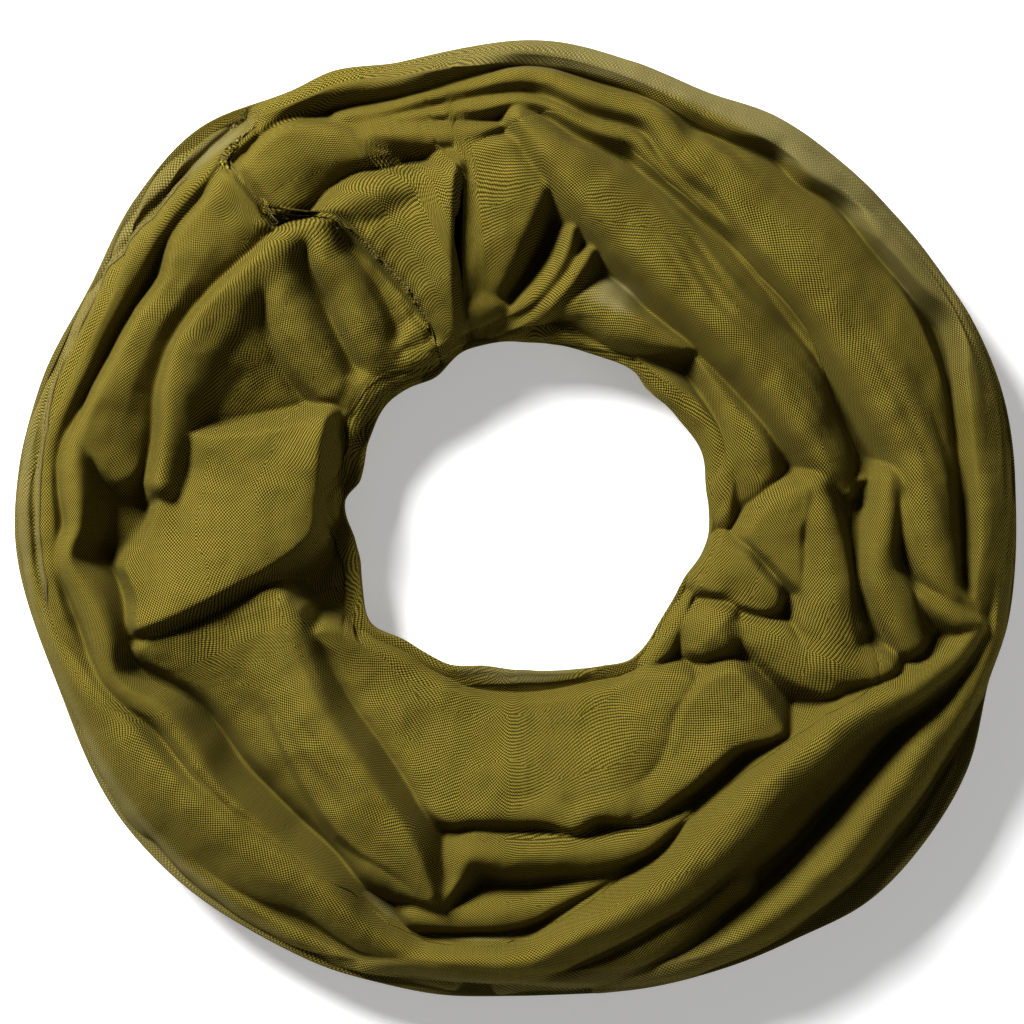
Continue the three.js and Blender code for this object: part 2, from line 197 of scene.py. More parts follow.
# Each fold: crest points (degrees, radius, height, reach to the left, reach to the right), and how far
# the flanks drop. Left and right are those of someone walking along the crest.
FOLDS = {
    "outer_band": (15, [(342, 187, 44, 5, 14), (352, 184, 50, 4, 14), (0, 184, 52, 4, 14),
        (14, 185, 52, 4, 13), (24, 193, 50, 4, 6), (30, 187, 52, 4, 9), (38, 183, 53, 4, 10),
        (44, 185, 53, 4, 9), (50, 180, 54, 4, 12), (55, 183, 53, 4, 10), (60, 178, 55, 4, 12),
        (66, 177, 55, 4, 10), (75, 181, 53, 4, 8), (87, 186, 51, 4, 6), (96, 183, 51, 4, 7),
        (106, 181, 51, 4, 8), (114, 187, 49, 4, 6), (122, 189, 45, 4, 6)]),
    "under_wide_band": (9, [(8, 102, 46, 16, 13), (18, 100, 49, 13, 12), (30, 97, 47, 8, 12),
        (42, 97, 44, 4, 10)]),
    # the gathered fold beside the flap, and two soft ridges in its bowl
    "gather_main": (19, [(125, 141, 61, 9, 4), (129, 143, 63, 12, 5), (133, 143, 64, 15, 5),
        (139, 144, 64, 20, 5), (144.5, 146, 63, 24, 5), (152, 148, 62, 24, 5), (159.5, 146, 61, 20, 5),
        (166, 141, 60, 12, 6), (174, 141, 58, 7, 6)]),
    "gather_left_ridge": (12, [(132, 142, 61, 9, 7), (136.5, 128, 60, 11, 9), (140, 110, 57, 12, 11),
        (144, 91, 51, 11, 10)]),
    "gather_right_ridge": (14, [(124, 139, 63, 7, 6), (126, 128, 62, 8, 7), (126, 115, 60, 9, 9),
        (127.5, 101, 58, 10, 10), (130, 87, 53, 10, 9), (129, 74, 45, 9, 8)]),
    "gather_foot": (12, [(118, 84, 47, 7, 7), (128, 83, 46, 8, 8), (140, 82, 46, 8, 8),
        (150, 82, 45, 6, 6)]),
    # left of the flap: the scalloped edge of the rim's roll
    "scallops": (18, [(167, 174, 53, 6, 8), (172, 176, 56, 6, 8), (177, 173, 57, 5, 8),
        (181, 173, 55, 4, 6), (185, 177, 56, 4, 6), (190, 171, 58, 7, 9), (196, 168, 58, 6, 10),
        (201, 170, 56, 4, 9), (205, 165, 57, 5, 9), (209, 158, 58, 6, 10), (215, 157, 57, 6, 10),
        (222, 158, 56, 4, 8), (230, 157, 54, 4, 7), (236, 158, 50, 4, 5)]),
    "tongue_crest": (10, [(203, 96, 57, 5, 14), (214, 102, 58, 6, 18), (226, 109, 61, 6, 20),
        (238, 117, 63, 6, 22), (247, 127, 64, 6, 20), (253, 138, 64, 5, 12), (257, 150, 61, 3, 5)]),
    # soft ridges over the body of the knot
    "knot_ridge": (9, [(6, 119, 59, 5, 7), (357, 122, 61, 7, 9), (349, 126, 61, 9, 10),
        (342, 129, 60, 13, 12), (337, 139, 59, 14, 10), (337, 152, 57, 9, 7)]),
    "knot_right_ridge": (10, [(6, 147, 58, 5, 4), (358.5, 144, 60, 6, 6), (352, 144, 60, 8, 7),
        (347.5, 152, 60, 10, 9), (343, 162, 58, 7, 7)]),
    "knot_outer_fold": (8, [(5, 152, 55, 6, 4), (358.5, 156, 56, 8, 6), (353, 164, 56, 7, 5),
        (350, 175, 54, 4, 3)]),
    "knot_low_fold": (14, [(350, 159, 53, 3, 4), (348.5, 168, 56, 5, 6), (347.5, 179, 57, 5, 6),
        (347.5, 187, 55, 3, 3)]),
    "knot_pillow": (8, [(335, 100, 51, 5, 8), (335.5, 114, 54, 7, 12), (334.5, 130, 57, 9, 12),
        (336, 145, 57, 9, 12), (338.5, 157, 56, 6, 7)]),
    # right-hand side, from the rim inwards
    "second_band": (17, [(349, 186, 50, 3, 4), (351, 172, 55, 12, 9), (357, 164, 58, 11, 15),
        (8, 158, 59, 8, 21), (18, 151, 60, 9, 28), (30, 147, 60, 9, 32), (42, 145, 60, 8, 33),
        (50, 146, 60, 6, 31), (58, 152, 60, 5, 25), (66, 156, 59, 5, 20), (72, 167, 57, 5, 10),
        (80, 168, 55, 5, 10), (88, 175, 52, 5, 7), (96, 172, 49, 5, 7), (108, 170, 47, 5, 8),
        (114, 174, 44, 4, 6)]),
    "thin_strip": (8, [(47, 139.5, 50, 2, 5), (54, 143, 53, 3, 5), (62, 145.5, 54, 3, 5),
        (69, 151, 55, 3, 5), (73, 157, 54, 4, 5), (80, 158, 53, 4, 5), (88, 165, 51, 3, 5),
        (96, 163, 50, 3, 6), (108, 165, 48, 3, 5), (113, 168, 46, 3, 4)]),
    "wide_band": (22, [(5, 130, 52, 4, 8), (9, 125, 58, 6, 12), (16, 119, 61, 8, 17),
        (25, 114, 63, 9, 24), (36, 110, 64, 9, 28), (50, 109, 65, 9, 30), (60, 113, 65, 10, 30),
        (70, 120, 65, 11, 31), (78, 130, 65, 11, 25), (84, 142, 65, 9, 17), (90, 158, 62, 3, 5)]),
    "inner_roll": (14, [(356, 86, 36, 9, 9), (8, 84, 40, 8, 12), (20, 85, 42, 7, 10), (32, 83, 42, 7, 8),
        (42, 80, 41, 6, 7), (52, 79, 38, 4, 6)]),
    "patch_layer": (12, [(44, 98, 46, 3, 12), (52, 90, 49, 5, 16), (60, 86, 50, 6, 22),
        (68, 87, 50, 7, 24), (76, 88, 48, 8, 22)]),
    "ribbed_inner": (12, [(50, 77, 30, 4, 8), (62, 76.5, 36, 5, 10), (76, 76, 38, 5, 10),
        (92, 75, 38, 4, 9), (104, 74, 34, 3, 6)]),
    "pleat_a": (14, [(74, 113, 50, 4, 5), (77, 98, 53, 4, 5), (81, 86, 52, 4, 6), (88, 77, 46, 4, 6),
        (96, 74, 38, 3, 5)]),
    "pleat_b": (14, [(79, 119, 50, 3, 4), (80, 105, 54, 4, 4), (83, 93, 53, 4, 5), (89, 83, 49, 4, 6),
        (98, 77, 42, 3, 4)]),
    "small_lobe": (12, [(92.5, 84, 47, 3, 3), (96, 85, 52, 6, 6), (101, 85, 53, 8, 8),
        (106, 84, 48, 8, 8)]),
    # the folds that the seam gathers, at the top left
    "seam_shoulder": (18, [(100, 142, 56, 4, 8), (106, 137, 63, 9, 8), (113, 139, 66, 16, 9),
        (119, 141, 66, 12, 8), (123, 141, 60, 4, 4)]),
    "lobe_under_tip": (14, [(92, 156, 50, 5, 4), (97, 153, 54, 7, 7), (102, 155, 55, 7, 6),
        (108, 160, 54, 6, 4), (114, 166, 50, 6, 4)]),
    "gather_inner": (14, [(112, 76, 46, 5, 8), (120, 75, 46, 5, 10), (130, 77, 46, 6, 10),
        (140, 77, 46, 6, 9), (150, 75, 42, 6, 7), (162, 72, 36, 6, 6), (172, 72, 30, 5, 6)]),
    # left-hand rim
    "hem_band": (14, [(120, 187, 44, 5, 5), (130, 184, 48, 7, 6), (142, 183, 50, 8, 7),
        (152, 183, 50, 9, 9), (162, 184, 50, 8, 9), (172, 187, 48, 6, 6), (180, 185, 47, 7, 7),
        (188, 185, 46, 7, 6), (196, 181, 45, 5, 7), (204, 176, 44, 4, 5)]),
    "rim_layer": (12, [(122, 193, 28, 5, 7), (130, 194, 34, 7, 7), (140, 194, 36, 6, 5),
        (156, 191, 36, 5, 4), (170, 194, 38, 6, 6), (182, 195, 38, 6, 5), (196, 190, 36, 5, 6)]),
    "rim_roll": (22, [(186, 194, 38, 5, 6), (194, 189, 46, 6, 8), (201, 182, 53, 8, 13),
        (208, 175, 57, 10, 20), (217, 171, 59, 10, 24), (226, 166, 59, 10, 24), (234, 163, 58, 10, 24),
        (241, 164, 57, 10, 20), (248, 171, 55, 6, 15), (254, 176, 51, 6, 12), (262, 180, 46, 6, 9),
        (270, 184, 40, 5, 6)]),
    "rim_under": (12, [(210, 190, 34, 8, 7), (222, 190, 38, 8, 6), (236, 188, 40, 8, 6),
        (250, 187, 40, 8, 5), (262, 184, 40, 8, 7)]),
    # the flap and the tongue
    "tongue_lip": (14, [(259, 153, 54, 4, 3), (260.5, 144, 54, 5, 4), (262, 134, 54, 8, 7),
        (270, 132, 54, 8, 10), (277, 133, 53, 8, 10), (284, 136, 52, 8, 9), (292, 137, 51, 8, 8),
        (300, 136, 47, 6, 6)]),
    # bottom of the ring
    "basin_edge": (14, [(255, 118, 44, 8, 6), (266, 117, 50, 9, 6), (276, 117, 50, 9, 7),
        (281, 121, 51, 9, 6), (285, 119, 51, 9, 6), (293, 122, 51, 10, 6), (301, 122, 51, 12, 8),
        (309, 120, 52, 12, 9), (316, 120, 52, 12, 9), (320, 126, 50, 5, 4)]),
    "dark_band": (12, [(256, 162, 48, 8, 6), (264, 158, 49, 10, 8), (272, 155, 48, 9, 8),
        (281, 149, 46, 7, 6), (290, 146, 44, 5, 5)]),
    "pale_inner": (12, [(250, 65, 24, 4, 6), (262, 65, 28, 4, 7), (276, 66, 28, 4, 7),
        (290, 68, 26, 4, 6)]),
    # lower right
    "big_sweep": (26, [(251, 188, 42, 5, 5), (256, 180, 50, 7, 9), (264, 175, 56, 7, 12),
        (272, 173, 59, 7, 14), (278, 166, 62, 9, 17), (286, 159, 63, 9, 20), (294, 154, 64, 9, 20),
        (302, 147, 65, 10, 21), (312, 144, 65, 9, 22), (322, 146, 65, 9, 20), (330, 153, 64, 8, 18),
        (336, 166, 62, 8, 14), (342, 179, 58, 7, 10), (347, 188, 52, 4, 5)]),
    "sweep_shoulder": (14, [(268, 184, 42, 8, 6), (280, 180, 48, 9, 9), (290, 173, 51, 9, 12),
        (300, 166, 48, 8, 12)]),
    "rim_sweep": (16, [(280, 190, 38, 6, 4), (290, 188, 45, 6, 7), (300, 187, 50, 6, 9),
        (311, 185, 53, 7, 11), (322, 183, 54, 7, 11), (331, 184, 53, 7, 10), (338, 190, 50, 6, 7),
        (346, 195, 46, 6, 5), (354, 192, 46, 6, 8)]),
    "rim_skirt": (10, [(300, 199, 24, 4, 4), (310, 203, 28, 5, 5), (320, 203, 30, 7, 6),
        (330, 200, 30, 6, 6), (340, 197, 28, 4, 4)]),
    # the knot at the right of the opening
    "loop_under": (14, [(312, 78, 38, 5, 8), (324, 76, 40, 5, 7), (334, 76, 38, 5, 7),
        (342, 76, 32, 4, 6)]),
}


# Flat faces of cloth with rolled edges: how wide the roll is, how far it drops, how much the face
# is crowned, and the outline (degrees, radius, height). Low parts of an outline are tucked under.
LOBES = {
    "gather_bowl": (6, 8, -9.0, [(134, 141, 61), (146, 143, 59), (155, 147, 59), (162.5, 143, 56),
        (166, 133, 50), (160.5, 102, 45), (149, 83, 45, 10), (144, 77, 44, 12), (138.5, 73, 42, 12),
        (128, 71, 42, 12), (117, 75, 47), (116.5, 101, 52), (119.5, 126, 56), (123.5, 137, 59)]),
    "tongue": (4, 20, 1.0, [(198, 160, 53), (196.5, 130, 54), (194, 103, 55), (198.5, 93, 54, 4),
        (212.5, 98, 57, 4), (225.5, 103, 60, 4), (237, 109, 62, 4), (245, 117, 63, 4),
        (253.5, 131, 63, 4), (258, 148, 61, 3), (258, 156, 58, 3), (251.5, 158, 53, 8),
        (245, 157, 48, 14), (235, 150, 44, 16), (224, 147, 42, 16), (213, 148, 42, 14),
        (205, 156, 44, 8)]),
    "knot_body": (6, 12, -5.0, [(6, 116, 53, 3), (357, 113, 52), (348.5, 118, 52), (343, 119, 52),
        (340, 111, 51), (336.5, 98, 47, 5), (333, 107, 49, 5), (331.5, 119, 50, 5), (331.5, 135, 51, 6),
        (334, 151, 52, 6), (337, 160, 52, 6), (341, 168, 51, 6), (344, 174, 50, 6), (348, 182, 49, 5),
        (350, 178, 48, 5), (354, 166, 47, 8), (359, 160, 47, 8), (6, 154, 48, 3), (8, 141, 47, 3),
        (7, 127, 50, 3)]),
    "knot_bulge": (3, 20, 3.0, [(357.5, 89, 50), (4, 97, 54), (8, 109, 57), (6, 117, 57), (357, 115, 56),
        (348.5, 120, 54), (344.5, 120, 52), (345.5, 111, 52), (350, 99, 53), (354, 90, 50)]),
    "knot_lobe": (3, 20, 3.0, [(338.5, 75, 44), (345.5, 73, 46), (352.5, 76, 49), (354.5, 84, 51),
        (353, 92, 53), (349, 100, 55), (345, 109, 55), (341, 110, 53), (338.5, 104, 51), (337.5, 95, 49),
        (338, 86, 46)]),
    "back_face": (5, 10, 2.5, [(103, 150, 53), (93, 153, 54), (86, 150, 54), (81, 141, 54), (84, 128, 55),
        (87, 112, 56), (91, 95, 53), (96, 82, 47), (104, 78, 45), (109, 90, 53), (108, 108, 57),
        (105, 130, 58)]),
    "knot_curl": (11, 10, 6.0, [(323.5, 82, 46), (330.5, 79, 50), (336.5, 84, 53), (338, 93, 54),
        (334, 98, 54), (328.5, 100, 52), (323, 93, 48), (321.5, 86, 45)]),
    "basin_shoulder": (4, 16, 1.0, [(302, 108, 48), (311, 97, 50), (320, 95, 52), (327, 103, 54),
        (326, 117, 55), (322.5, 136, 54), (319, 135, 53), (313.5, 127, 53), (304.5, 127, 53),
        (295, 130, 51), (289, 128, 49), (295, 115, 48)]),
    "seam_face": (2.5, 22, 1.5, [(98.5, 144, 61), (99.5, 136, 65), (101, 122, 67), (103, 104, 65),
        (105, 88, 60), (107, 76, 50), (113, 72, 44), (115, 85, 50), (116.5, 100, 54), (118.5, 116, 57),
        (120, 128, 59), (122, 137, 61), (124, 143, 60), (121, 147, 61), (115, 149, 61), (109, 144, 60),
        (103, 143, 61)]),
    "flap": (3, 24, 2.0, [(148.5, 83.5, 57), (153, 82, 60), (161, 79, 62), (170, 77, 62), (179, 77, 61),
        (185, 79.5, 60), (189, 87, 61), (192, 98, 63), (194, 110, 64), (195.5, 124, 65), (196.7, 139, 64),
        (197, 153, 62), (196, 158, 58), (192, 155, 59), (189, 156, 58), (186, 158, 52), (182, 149, 46),
        (176, 144, 46), (168, 143, 48), (164.5, 136, 52), (163, 122, 56), (159, 106, 57), (155, 96, 57),
        (151, 89, 57)]),
    "seam_body": (6, 16, 3.0, [(106, 150, 50), (111, 158, 56), (113, 168, 56), (117, 177, 56),
        (121, 182.5, 57), (127, 180, 57), (129, 178, 57), (129.3, 164, 56), (129, 150, 53),
        (124, 145, 52), (116, 148, 50)]),
    "beside_seam": (5, 16, 2.0, [(128.8, 178.5, 58), (135, 178, 56), (141, 177, 55), (146, 171, 55),
        (152, 172, 56), (162, 175, 56), (169, 178, 56), (173, 170, 50), (176, 158, 44), (172, 147, 44),
        (160, 147, 50), (148, 150, 52), (138, 146, 54), (131, 147, 55), (128.8, 150, 56)]),
    "basin_face": (4, 14, 1.0, [(208, 98, 48), (207.5, 88, 50), (210, 82, 47), (216, 77, 42),
        (228, 69, 34), (245, 68, 32), (262, 70, 34), (282, 70, 36), (300, 74, 40), (310, 78, 44),
        (318, 88, 48), (318, 98, 48), (306, 112, 47), (297, 124, 48), (290, 128, 50), (285, 124, 50),
        (280, 127, 50), (274, 122, 49), (264, 122, 48), (256, 125, 46), (244, 118, 42), (228, 108, 40),
        (215, 102, 44)]),
}

# Folds that run softly into the cloth around them, and over what height (mm).
SOFT_FOLDS = {
    "gather_left_ridge": 8, "gather_right_ridge": 8, "gather_foot": 6, "tongue_crest": 6,
    "knot_ridge": 7, "knot_right_ridge": 6, "knot_outer_fold": 5, "knot_pillow": 7,
    "dark_band": 5, "under_wide_band": 6, "basin_edge": 5,
}

# Where the two turns part on top of the pile, from the outer rim at the seam, round to the inner.
PARTING = [(120, 199), (125, 195), (130, 189), (136, 188.5), (143, 190), (150, 192.5), (165, 192),
    (175, 191), (185, 190), (190, 189), (197, 186), (204, 179), (209, 163), (214, 161.5), (222, 160),
    (229, 160), (236, 158), (246, 161), (252, 168), (258, 171), (268, 168), (277, 158), (284, 150),
    (291, 143), (299, 136), (306, 134), (313, 135), (321, 138), (328, 144), (333, 152), (336, 156),
    (340, 150), (345, 141), (350, 135), (358, 133), (365, 134), (369, 138), (376, 135), (385, 136),
    (393, 137.5), (405, 136.5), (414, 139), (420, 143), (426, 146), (432, 152), (438, 160), (446, 162),
    (452, 154), (457, 149), (458.5, 140), (460, 122), (462, 104), (464, 86), (470, 74), (480, 67)]

# The seam on top of the pile, as (radius, degrees) from the opening outwards.
SEAM_PATH = [(60, 117), (75, 115), (85, 114), (100, 115), (112, 117), (128, 119), (137, 120),
    (142, 122.5), (147, 126), (152, 129), (178, 129), (184, 124), (205, 121)]

# Thin places, where the table's light through the cloth is painted in: angle, half spread, inner and outer
# radius, and how much shows through.
THIN = [(62, 38, 177, 220, 0.75), (129, 5, 187, 197, 0.9), (148, 16, 191, 220, 0.5),
    (180, 25, 193, 220, 0.45), (218, 24, 188, 220, 0.55), (272, 22, 180, 220, 0.35),
    (67, 6, 90, 105, 0.8), (275, 24, 58, 67, 0.8), (320, 18, 196, 220, 0.3)]


def closed_curve(points, angles):
    """Smooth periodic curve through (degrees, value) points, read at the given degrees."""
    a = np.array([p[0] for p in points], float)
    v = np.array([p[1] for p in points], float)
    n = len(a)
    a = np.concatenate([a - 360, a, a + 360])
    v = np.tile(v, 3)
    slope = np.zeros(3 * n)
    slope[1:-1] = (v[2:] - v[:-2]) / (a[2:] - a[:-2])
    k = np.clip(np.searchsorted(a, angles, side="right") - 1, 0, 3 * n - 2)
    h = a[k + 1] - a[k]
    t = (angles - a[k]) / h
    return ((2 * t**3 - 3 * t**2 + 1) * v[k] + (t**3 - 2 * t**2 + t) * h * slope[k]
            + (-2 * t**3 + 3 * t**2) * v[k + 1] + (t**3 - t**2) * h * slope[k + 1])


def polar_points(points):
    """Rows of (degrees, radius, ...) as x, y and the rest."""
    p = np.array(points, float)
    a = np.radians(p[:, 0])
    return np.column_stack([p[:, 1] * np.cos(a), p[:, 1] * np.sin(a), p[:, 2:]])


def spline_piece(near, count):
    """The Catmull-Rom curve between the middle two of four points, without its end."""
    q0, q1, q2, q3 = near
    t = (np.arange(count) / count)[:, None]
    return 0.5 * (2 * q1 + (q2 - q0) * t + (2 * q0 - 5 * q1 + 4 * q2 - q3) * t**2
                  + (3 * q1 - q0 - 3 * q2 + q3) * t**3)


def crest_samples(points):
    """Samples of a crest: x, y, height, left reach, right reach, along a Catmull-Rom curve."""
    c = polar_points(points)
    ends = np.vstack([2 * c[0] - c[1], c, 2 * c[-1] - c[-2]])
    out = []
    for i in range(1, len(ends) - 2):
        count = max(2, int(np.hypot(*(ends[i + 1] - ends[i])[:2]) / CREST_STEP))
        out.append(spline_piece(ends[i - 1:i + 3], count))
    out.append(c[-1:])
    s = np.vstack(out)
    s[:, 3:] = np.maximum(s[:, 3:], LEAST_REACH)
    return s


def ripples(ripple, across, reach):
    """Lesser folds that run along a fold, strongest on its flanks, in mm."""
    step, start, wander, patch = ripple
    wave = np.cos(2 * np.pi * (across / step + start + 0.3 * wander))
    lesser = across / step * 0.61 + start - 0.4 * wander
    sharp = 0.7 * wave + 0.3 * (1 - 2 * np.abs(np.sin(np.pi * lesser)))
    on_flank = np.clip((np.abs(across) - 1.5) / 4, 0, 1) * np.clip(reach / 12, 0, 1)
    return RIPPLE_HEIGHT * patch * sharp * on_flank


def fold_height(s, drop, x, y, ripple):
    """Height of one fold at points, and very low off it."""
    dx = x[:, None] - s[None, :, 0]
    dy = y[:, None] - s[None, :, 1]
    d2 = dx * dx + dy * dy
    k = np.argmin(d2, axis=1)
    rows = np.arange(len(x))
    d = np.sqrt(d2[rows, k])
    t = np.gradient(s[:, :2], axis=0)
    side = t[k, 0] * dy[rows, k] - t[k, 1] * dx[rows, k]
    soft = 0.5 + 0.5 * np.tanh(side / (np.hypot(t[k, 0], t[k, 1]) * SIDE_SOFTNESS))
    reach = soft * s[k, 3] + (1 - soft) * s[k, 4]
    u = np.minimum(d / reach, 1)
    gentle = np.clip((reach - GENTLE_FROM) / GENTLE_OVER, 0, 1)
    rolled = 1 - np.sqrt(1 - u * u)
    sloped = 0.5 - 0.5 * np.cos(np.pi * u**1.15)
    fall = (1 - gentle) * rolled + gentle * (0.35 * rolled + 0.65 * sloped)
    height = s[k, 2] - drop * fall + ripples(ripple, d * np.sign(side), reach) * (1 - u**4)
    return np.where(d < reach, height, FAR_BELOW)


def join(below, above, width):
    """The higher of two heights, with a soft hollow where they meet."""
    h = np.maximum(width - np.abs(above - below), 0) / width
    return np.maximum(below, above) + h * h * width / 4


def lobe_height(roll, drop, crown, points, x, y):
    """Height of a flat lobe at points, and very low off it. A fourth value in a corner is its own roll."""
    corners = polar_points([(p + (roll,))[:4] for p in points])
    n = len(corners)
    edge = []
    for i in range(n):
        near = [corners[(i + k) % n] for k in (-1, 0, 1, 2)]
        count = max(2, int(np.hypot(*(near[2] - near[1])[:2]) / OUTLINE_STEP))
        edge.append(spline_piece(near, count))
    edge = np.vstack(edge)
    after = np.roll(edge, -1, axis=0)
    inside = np.zeros(len(x), bool)
    for (x0, y0), (x1, y1) in zip(edge[:, :2], after[:, :2]):
        if y0 != y1:
            inside ^= ((y0 > y) != (y1 > y)) & (x < (x1 - x0) * (y - y0) / (y1 - y0) + x0)
    d2 = (x[:, None] - edge[None, :, 0]) ** 2 + (y[:, None] - edge[None, :, 1]) ** 2
    weight = 1 / (d2 + 1) ** 1.5
    height = (weight * edge[None, :, 2]).sum(1) / weight.sum(1)
    roll = np.maximum((weight * edge[None, :, 3]).sum(1) / weight.sum(1), LEAST_REACH)
    d = np.sqrt(d2.min(1))
    u = 1 - np.minimum(d / roll, 1)
    height = height + crown * (1 - np.exp(-d / CROWN_REACH)) - drop * (1 - np.sqrt(1 - u * u))
    return np.where(inside, height, FAR_BELOW)


def blur(grid, sigma):
    """Gaussian blur by a product in the frequency domain. sigma is in cells."""
    fy = np.fft.fftfreq(grid.shape[0])[:, None]
    fx = np.fft.rfftfreq(grid.shape[1])[None, :]
    gain = np.exp(-2 * (np.pi * sigma) ** 2 * (fx * fx + fy * fy))
    return np.fft.irfft2(np.fft.rfft2(grid) * gain, s=grid.shape)


def smooth_noise(shape, sigma_y, sigma_x, rng):
    """Blurred random values of unit spread."""
    fy = np.fft.fftfreq(shape[0])[:, None]
    fx = np.fft.rfftfreq(shape[1])[None, :]
    gain = np.exp(-2 * np.pi**2 * ((sigma_x * fx) ** 2 + (sigma_y * fy) ** 2))
    out = np.fft.irfft2(np.fft.rfft2(rng.standard_normal(shape)) * gain, s=shape)
    return out / out.std()


def grid_axes():
    """Places of the cells of the grid, in mm."""
    x = np.arange(-GRID_HALF_X, GRID_HALF_X + CELL / 2, CELL)
    y = np.arange(-GRID_HALF_Y, GRID_HALF_Y + CELL / 2, CELL)
    return x, y


def near_points(p, reach, xx, yy):
    """The cells in the box of a set of points and their reach."""
    inside = np.abs(xx - (p[:, 0].min() + p[:, 0].max()) / 2) < np.ptp(p[:, 0]) / 2 + reach
    return inside & (np.abs(yy - (p[:, 1].min() + p[:, 1].max()) / 2) < np.ptp(p[:, 1]) / 2 + reach)


def fold_relief():
    """Height of the folds over the grid: the highest fold at each place, joined as cloth is."""
    rng = np.random.default_rng(SEED)
    x, y = grid_axes()
    xx, yy = np.meshgrid(x, y)
    wander = smooth_noise(xx.shape, 28, 28, rng)
    patch = np.clip(0.55 + 0.5 * smooth_noise(xx.shape, 24, 24, rng), 0, 1.3)
    z = np.full(xx.shape, float(VALLEY_FLOOR))
    for roll, drop, crown, points in LOBES.values():
        corners = polar_points([p[:3] for p in points])
        near = near_points(corners, LOBE_MARGIN, xx, yy)
        z[near] = join(z[near], lobe_height(roll, drop, crown, points, xx[near], yy[near]), JOIN_WIDTH)
    for name, (drop, points) in FOLDS.items():
        s = crest_samples(points)
        near = near_points(s, s[:, 3:].max(), xx, yy)
        ripple = (rng.uniform(*RIPPLE_STEP), rng.uniform(0, 1), wander[near], patch[near])
        width = SOFT_FOLDS.get(name, JOIN_WIDTH)
        z[near] = join(z[near], fold_height(s, drop, xx[near], yy[near], ripple), width)
    cloth = blur(z, MEMBRANE_START / CELL)
    for _ in range(MEMBRANE_ROUNDS):
        cloth = np.maximum(blur(cloth, MEMBRANE_REACH / CELL) - MEMBRANE_SAG, z)
    cloth = blur(cloth, FINISH_BLUR / CELL)
    for reach, gain in VALLEYS:
        cloth = cloth - gain * np.maximum(blur(cloth, reach / CELL) - cloth, 0)
    cloth = steepness_limited(np.maximum(cloth, LOWEST_VALLEY))
    return cloth + seam_groove(xx, yy, rng) + parting_groove(xx, yy)


def steepness_limited(z):
    """The relief filled in beside its cliffs, so that nowhere is it steeper than cloth can lie."""
    for _ in range(STEEP_ROUNDS):
        for dy, dx in ((0, 1), (0, -1), (1, 0), (-1, 0), (1, 1), (-1, -1), (1, -1), (-1, 1)):
            fall = STEEPEST * CELL * np.hypot(dx, dy)
            z = np.maximum(z, np.roll(z, (dy, dx), axis=(0, 1)) - fall)
    return blur(z, STEEP_BLUR / CELL)


def path_distance(path, xx, yy, reach):
    """Cells near a path of x, y points: distance to it, side of it and place along it."""
    near = near_points(path, reach, xx, yy)
    px, py = xx[near], yy[near]
    best = np.full(px.shape, 1e9)
    side = np.zeros(px.shape)
    place = np.zeros(px.shape)
    steps = np.hypot(*np.diff(path, axis=0).T)
    starts = np.concatenate([[0], np.cumsum(steps)])
    for (x0, y0), (x1, y1), length, start in zip(path[:-1], path[1:], steps, starts):
        t = np.clip(((px - x0) * (x1 - x0) + (py - y0) * (y1 - y0)) / length**2, 0, 1)
        dx = px - x0 - t * (x1 - x0)
        dy = py - y0 - t * (y1 - y0)
        d = np.hypot(dx, dy)
        closer = d < best
        best[closer] = d[closer]
        side[closer] = np.sign((x1 - x0) * dy - (y1 - y0) * dx)[closer]
        place[closer] = (start + t * length)[closer]
    return near, best, side, place


def seam_groove(xx, yy, rng):
    """The narrow groove that the seam pulls in, and the small puckers across it."""
    radius = np.arange(64, 196, 2.0)
    angle = np.radians(seam_degrees(radius))
    path = np.column_stack([radius * np.cos(angle), radius * np.sin(angle)])
    near, d, _, place = path_distance(path, xx, yy, SEAM_REACH)
    uneven = smooth_noise(xx.shape, 9, 9, rng)[near]
    out = np.zeros(xx.shape)
    groove = SEAM_DEPTH * np.exp(-((d / 1.1) ** 2))
    pucker = np.cos(2 * np.pi * (place / PUCKER_STEP + 0.35 * uneven))
    pucker = pucker * np.exp(-d / 5) * (0.28 + 0.12 * uneven)
    out[near] = np.where(d < SEAM_REACH, pucker * np.clip((SEAM_REACH - d) / 5, 0, 1) - groove, 0)
    out[near] += 0.35 * np.exp(-(((d - 3.2) / 1.6) ** 2))
    return out


def parting_groove(xx, yy):
    """Between the two turns the cloth dips, and an open edge lies over the turn outside it."""
    angle = np.arange(PARTING[0][0], PARTING[-1][0] + 0.1, 1.0)
    radius = np.interp(angle, [p[0] for p in PARTING], [p[1] for p in PARTING])
    a = np.radians(angle)
    path = np.column_stack([radius * np.cos(a), radius * np.sin(a)])
    near, d, side, _ = path_distance(path, xx, yy, PARTING_REACH)
    out = np.zeros(xx.shape)
    out[near] = -0.45 * np.exp(-((d / 1.5) ** 2))
    turned = np.degrees(np.arctan2(yy, xx)) % 360
    open_edge = open_edge_share(turned) * (np.hypot(xx, yy) > 150)
    outside = np.zeros(xx.shape)
    outside[near] = np.where(side < 0, -2.6 * np.exp(-((d / 3.0) ** 2)), 0.3 * np.exp(-d / 8))
    return out * (1 - open_edge) + outside * open_edge


def open_edge_share(degrees):
    """1 where the panel's first edge lies open on top, and 0 where it is tucked in."""
    start, end = OPEN_EDGE
    return (np.clip((degrees - start) / OPEN_EDGE_FADE + 0.5, 0, 1)
            * np.clip((end - degrees) / OPEN_EDGE_FADE + 0.5, 0, 1))


def seam_degrees(radius):
    """Angle of the seam on top of the pile, at a radius."""
    return np.interp(radius, [p[0] for p in SEAM_PATH], [p[1] for p in SEAM_PATH])


